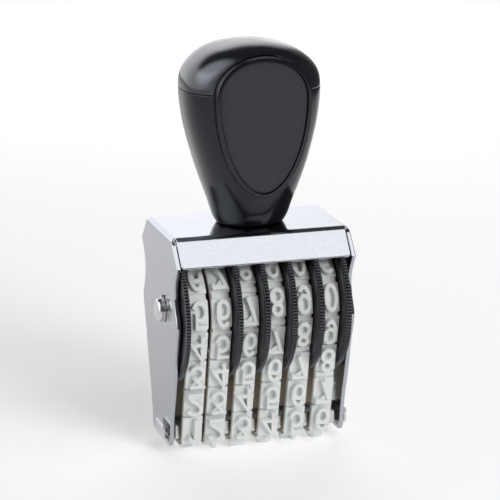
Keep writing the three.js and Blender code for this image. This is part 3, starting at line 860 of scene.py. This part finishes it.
def make_rubber(k, x, printed):
    """Band k's rubber, with the character of that index in SEQUENCE on the printing run."""
    start = [i * CELL + (SPLICE if i >= AFTER_SPLICE else 0) for i in range(CELLS)]
    half = BAND_W / 2 - 0.28
    section = [(-half, RUBBER_IN), (-half, RUBBER_OUT - 0.1), (-half + 0.1, RUBBER_OUT),
               (half - 0.1, RUBBER_OUT), (half, RUBBER_OUT - 0.1), (half, RUBBER_IN)]
    n, m = 240, len(section)
    verts = [(x + u, *track_at(LENGTH * j / n, off)) for j in range(n) for u, off in section]
    faces = [(j * m + i, j * m + (i + 1) % m, (j + 1) % n * m + (i + 1) % m, (j + 1) % n * m + i)
             for j in range(n) for i in range(m)]
    parts, block = [(verts, faces)], make_block()
    for i, name in enumerate(SEQUENCE):
        home = start[i] - start[printed]
        for v, f in (block, glyph(name)):
            parts.append(([(x + u, *block_point(home, t, off)) for u, t, off in v], f))
    # the splice: a low ridge on the plain length between the 7 and the 8
    home = start[AFTER_SPLICE] - start[printed] - (CELL + SPLICE) / 2
    v, f = slab(rounded_rect(-half - 0.2, half + 0.2, -0.62, 0.62, 0.2, 3), [],
                [(RUBBER_OUT - 0.2, -0.03), (RUBBER_OUT + 0.2, 0.05), (RUBBER_OUT + 0.32, 0.2)])
    parts.append(([(x + u, *block_point(home, t, off)) for u, t, off in v], f))
    o = to_object(f"band_{k}_rubber", *join(parts))
    finish_piece(o, "rubber", BODY, [f"number_band_{k}"], 38)


# ---- Handle ----
# Half width and half depth at heights over the frame.
PROFILE = [(6.9, 6.15, 0), (7.5, 6.8, 0.9), (8.6, 8.2, 4.1), (10.1, 9.9, 8.7), (12.15, 10.9, 15.5),
           (13.55, 11.2, 21), (14.2, 11.2, 25), (14.45, 11.2, 28.4), (14.15, 11.2, 31), (13.2, 11.1, 33),
           (11.6, 10.8, 34.7), (9.4, 9.8, 36.2), (6.7, 7.9, 37.2), (3.5, 4.8, 37.9), (0.02, 0.02, 38.19)]
EGG_HALF_W, EGG_Z, EGG_UP, EGG_DOWN = 10.1, 27.5, 8.7, 20.3  # the oval rim, widest at EGG_Z
EGG_POWER_UP, EGG_POWER_DOWN = 2.1, 1.95  # 2 is an ellipse
RIM_ROOT, CLEAR = 7.6, 13  # distances from the middle plane: inside the body, and clear of it
SQUARENESS, SQUARE_Z = 0.65, 14  # the section's power grows from 2 by this much up to this height


def smooth_curve(points, n):
    """Natural cubic spline through the points, n + 1 samples by chord length."""
    p = np.array(points, float)
    t = np.concatenate([[0], np.cumsum(np.linalg.norm(np.diff(p, axis=0), axis=1))])
    h, size = np.diff(t), len(p)
    a, b = np.zeros((size, size)), np.zeros((size, p.shape[1]))
    a[0, 0] = a[-1, -1] = 1
    for i in range(1, size - 1):
        a[i, i - 1:i + 2] = h[i - 1], 2 * (h[i - 1] + h[i]), h[i]
        b[i] = 6 * ((p[i + 1] - p[i]) / h[i] - (p[i] - p[i - 1]) / h[i - 1])
    m = np.linalg.solve(a, b)
    out = []
    for s in np.linspace(0, t[-1], n + 1):
        i = min(max(int(np.searchsorted(t, s)) - 1, 0), size - 2)
        u, w = t[i + 1] - s, s - t[i]
        out.append((m[i] * u**3 + m[i + 1] * w**3) / (6 * h[i]) + (p[i] / h[i] - m[i] * h[i] / 6) * u
                   + (p[i + 1] / h[i] - m[i + 1] * h[i] / 6) * w)
    return [tuple(map(float, q)) for q in out]


CURVE = smooth_curve(PROFILE, 110)


def level(z):
    """The profile at height z over the frame."""
    i = next(i for i, p in enumerate(CURVE) if p[2] > z)
    (a0, b0, z0), (a1, b1, z1) = CURVE[i - 1], CURVE[i]
    w = (z - z0) / (z1 - z0)
    return a0 + (a1 - a0) * w, b0 + (b1 - b0) * w, z


def shrunk(p, d):
    """A point of the profile drawn in by d."""
    return p[0] - d, p[1] - d, p[2]


def loft(rings, around=160):
    """A solid through superellipses of (half width, half depth, height), rounder near the foot."""
    verts, faces = [], []
    for a, b, z in rings:
        power = 2 / (2 + SQUARENESS * min(1, max(0, z) / SQUARE_Z))
        for i in range(around):
            t = 2 * math.pi * (i + 0.5) / around
            c, s = math.cos(t), math.sin(t)
            x, y = a * math.copysign(abs(c) ** power, c), b * math.copysign(abs(s) ** power, s)
            verts.append((HANDLE_X + x, y, HANDLE_Z + z))
    last = (len(rings) - 1) * around
    for k in range(0, last, around):
        for i in range(around):
            j = (i + 1) % around
            faces.append((k + i, k + j, k + around + j, k + around + i))
    faces.append(tuple(range(around))[::-1])
    faces.append(tuple(last + i for i in range(around)))
    return verts, faces


def egg(inset, steps=64):
    """The oval of the rim, with its narrow end down, drawn in by inset."""
    out = []
    for i in range(2 * steps):
        t = math.pi * (i + 0.5) / steps
        c, s = math.cos(t), math.sin(t)
        p, reach = (2 / EGG_POWER_UP, EGG_UP) if s > 0 else (2 / EGG_POWER_DOWN, EGG_DOWN)
        u, w = math.copysign(abs(c) ** p, c), math.copysign(abs(s) ** p, s)
        out.append((HANDLE_X + EGG_HALF_W * u, HANDLE_Z + EGG_Z + reach * w))
    return inset_loop(out, inset) if inset else out


def egg_solid(name, levels, side, inset=0.0):
    """The oval as a solid; levels are (distance from the middle plane, inset)."""
    v, f = slab(egg(inset), [], levels)
    return to_object(name, [(u, side * w, z) for u, z, w in v], f)


def combine(target, other, operation):
    """An exact boolean of the target with the other object, which is used up."""
    m = target.modifiers.new("cut", "BOOLEAN")
    m.operation, m.solver, m.object = operation, "EXACT", other
    made = bpy.data.meshes.new_from_object(target.evaluated_get(bpy.context.evaluated_depsgraph_get()))
    target.modifiers.clear()
    target.data = made
    bpy.data.objects.remove(other)


def make_handle():
    """The lower moulding with both oval rims, the upper one over the seam, and the two labels."""
    r = 0.14  # softened rims along the seam
    low, high = SEAM + 0.05, SEAM + 0.2
    soft = [(r * math.sin(t), r * (1 - math.cos(t))) for t in (math.pi / 2 * i / 4 for i in range(5))]
    foot = level(0.25)
    below = [shrunk(foot, 0.25)[:2] + (0.0,), shrunk(foot, 0.07)[:2] + (0.07,)]
    below += [p for p in CURVE if p[2] < low - r - 0.1][2:]
    below += [shrunk(level(low - r + up), d) for up, d in soft]
    above = [shrunk(level(high + r - up), d) for up, d in reversed(soft)]
    above += [p for p in CURVE if p[2] > high + r + 0.1]
    body = to_object("handle_lower", *loft(below))
    cap = to_object("handle_upper", *loft(above))
    for side, name in ((-1, "label_front"), (1, "label_rear")):
        floor = PANEL_Y - PANEL_DEPTH
        # the rim stands out from the body, the label lies in its recess, and the cap stops short of the rim
        levels = [(RIM_ROOT, 0), (PANEL_Y - 0.32, 0), (PANEL_Y - 0.17, 0.05), (PANEL_Y - 0.05, 0.16),
                  (PANEL_Y, 0.32)]
        combine(body, egg_solid("rim", levels, side), "UNION")
        levels = [(floor, 0), (PANEL_Y - 0.22, 0), (PANEL_Y - 0.07, -0.06), (PANEL_Y + 0.2, -0.3)]
        combine(body, egg_solid("recess", levels, side, RIM_W), "DIFFERENCE")
        combine(cap, egg_solid("room", [(RIM_ROOT - 0.2, 0), (CLEAR, 0)], side, -0.14), "DIFFERENCE")
        near = floor + 0.03
        far = near + LABEL_T
        levels = [(near, 0), (far - 0.1, 0), (far - 0.02, 0.04), (far, 0.14)]
        label = egg_solid(name + "_plate", levels, side, RIM_W + 0.1)
        finish_piece(label, "label", BODY, [name])
    finish_piece(body, "black_body", BODY, ["handle_body"], 40)
    finish_piece(cap, "black_gloss", BODY, ["handle_cap"], 40)


make_frame()
make_platen()
make_axle()
for k in range(1, BANDS + 1):
    band_x = BAND_1_X if k == 1 else BAND_2_X + (k - 2) * PITCH_X
    towards_rim = -1 if k == 1 else 1
    rim_x = band_x + towards_rim * (BAND_W / 2 + WHEEL_GAP + WHEEL_T / 2)
    make_wheel(k, rim_x, -towards_rim)
    make_fabric(k, band_x)
    make_rubber(k, band_x, k - 1)
make_handle()


# ---- Floor, light and camera, in metres ----
FLOOR_X, FLOOR_Y = (-0.9, 0.32), (-0.45, 2.0)  # the black plastic mirrors a dark room past the ends
LIGHTS = (  # name, place, size, power in W, whether the part mirrors it
    ("key", (0.235, -0.36, 0.67), (0.56, 0.5), 1.55, True),
    ("fill", (0.38, -0.84, 0.42), (0.4, 0.36), 5.0, False),
    ("rear", (0.15, 0.6, 0.35), (0.5, 0.3), 1.6, False),
)
LIGHT_TARGET = (0, 0, 0.045)
BAND_TOP = (0.42, 0.6)  # direction's height over which the bright band fades out
SIDE_TURN, SIDE_BASE, SIDE_LEAST = -1.1, 0.35, 0.08  # the band fades to the right and in front
FLAG_AXIS, FLAG_EDGE, FLAG_LEVELS = (0.891, -0.454), (-0.12, 0.08), (1.53, 0.4)
MIRRORED_ONLY, AMBIENT = 0.6, 0.075  # share of the band that only mirroring rays see; light all round
SOFT_AXIS, SOFT_EDGE, SOFT_LEVEL = (-0.776, -0.094, 0.624), (0.72, 0.99), 2.4
LIGHT_COLOUR = (0.975, 0.985, 1.01, 1)
CAMERA_AT, CAMERA_TARGET, CAMERA_LENS = (-0.1278, -0.42915, 0.1597), (0.00062, 0.00165, 0.04097), 160.2
CAMERA_ROLL = math.radians(-0.17)


def make_floor():
    mesh = bpy.data.meshes.new("floor")
    (west, east), (south, north) = FLOOR_X, FLOOR_Y
    corners = [(west, south, 0), (east, south, 0), (east, north, 0), (west, north, 0)]
    mesh.from_pydata(corners, [], [(0, 1, 2, 3)])
    o = bpy.data.objects.new("floor", mesh)
    bpy.context.scene.collection.objects.link(o)
    mesh.materials.append(floor_white())


def area_light(name, place, size, power, mirrored):
    data = bpy.data.lights.new(name, "AREA")
    data.shape, data.size, data.size_y, data.energy = "RECTANGLE", size[0], size[1], power
    o = bpy.data.objects.new(name, data)
    bpy.context.scene.collection.objects.link(o)
    o.location = place
    o.rotation_euler = (Vector(LIGHT_TARGET) - Vector(place)).to_track_quat("-Z", "Y").to_euler()
    o.visible_glossy = mirrored


def make_world():
    """White to the camera. To all else a bright low band behind and to the left, under a dark ceiling."""
    world = bpy.data.worlds.new("studio")
    bpy.context.scene.world = world
    world.use_nodes = True
    tree = world.node_tree
    tree.nodes.clear()
    new, link = tree.nodes.new, tree.links.new

    def maths(*args, **options):
        return math_node(tree, *args, **options)

    where = new("ShaderNodeTexCoord").outputs["Generated"]
    xyz = new("ShaderNodeSeparateXYZ")
    link(where, xyz.inputs["Vector"])
    x, y, z = (xyz.outputs[axis] for axis in "XYZ")
    band = map_range(tree, z, *BAND_TOP, 1.0, 0.0, smooth=True)
    turned = maths("ADD", y, maths("MULTIPLY", x, SIDE_TURN))
    sides = maths("MAXIMUM", maths("ADD", turned, SIDE_BASE, clamp=True), SIDE_LEAST)
    # a grey flag stands on the right of the backdrop
    across = maths("ADD", maths("MULTIPLY", x, FLAG_AXIS[0]), maths("MULTIPLY", y, FLAG_AXIS[1]))
    flag = map_range(tree, across, *FLAG_EDGE, *FLAG_LEVELS, smooth=True)
    backdrop = maths("MULTIPLY", maths("MULTIPLY", band, sides), flag)
    path = new("ShaderNodeLightPath")
    mirrors, seen_straight = path.outputs["Is Glossy Ray"], path.outputs["Is Camera Ray"]
    # the backdrop lights less than it mirrors
    share = maths("ADD", maths("MULTIPLY", mirrors, MIRRORED_ONLY), 1 - MIRRORED_ONLY)
    glow = maths("ADD", maths("MULTIPLY", backdrop, share), AMBIENT)
    # a soft patch, high on the left, is only mirrored
    towards = new("ShaderNodeVectorMath")
    towards.operation = "DOT_PRODUCT"
    link(where, towards.inputs[0])
    towards.inputs[1].default_value = SOFT_AXIS
    soft = map_range(tree, towards.outputs["Value"], *SOFT_EDGE, 0.0, SOFT_LEVEL, smooth=True)
    glow = maths("ADD", glow, maths("MULTIPLY", soft, mirrors))
    light, seen = new("ShaderNodeBackground"), new("ShaderNodeBackground")
    mix, out = new("ShaderNodeMixShader"), new("ShaderNodeOutputWorld")
    link(glow, light.inputs["Strength"])
    light.inputs["Color"].default_value = LIGHT_COLOUR
    seen.inputs["Color"].default_value = (1, 1, 1, 1)
    link(seen_straight, mix.inputs["Fac"])
    link(light.outputs["Background"], mix.inputs[1])
    link(seen.outputs["Background"], mix.inputs[2])
    link(mix.outputs["Shader"], out.inputs["Surface"])


def make_camera():
    data = bpy.data.cameras.new("camera")
    data.lens, data.sensor_width = CAMERA_LENS, 36.0
    data.clip_start, data.clip_end = 0.01, 20
    cam = bpy.data.objects.new("camera", data)
    bpy.context.scene.collection.objects.link(cam)
    place, target = Vector(CAMERA_AT), Vector(CAMERA_TARGET)
    turn = (target - place).to_track_quat("-Z", "Y").to_matrix() @ Matrix.Rotation(CAMERA_ROLL, 3, "Z")
    cam.location = place
    cam.rotation_euler = turn.to_euler()
    bpy.context.scene.camera = cam


make_floor()
make_world()
for lamp in LIGHTS:
    area_light(*lamp)
make_camera()
bpy.context.scene.view_settings.view_transform = "Standard"
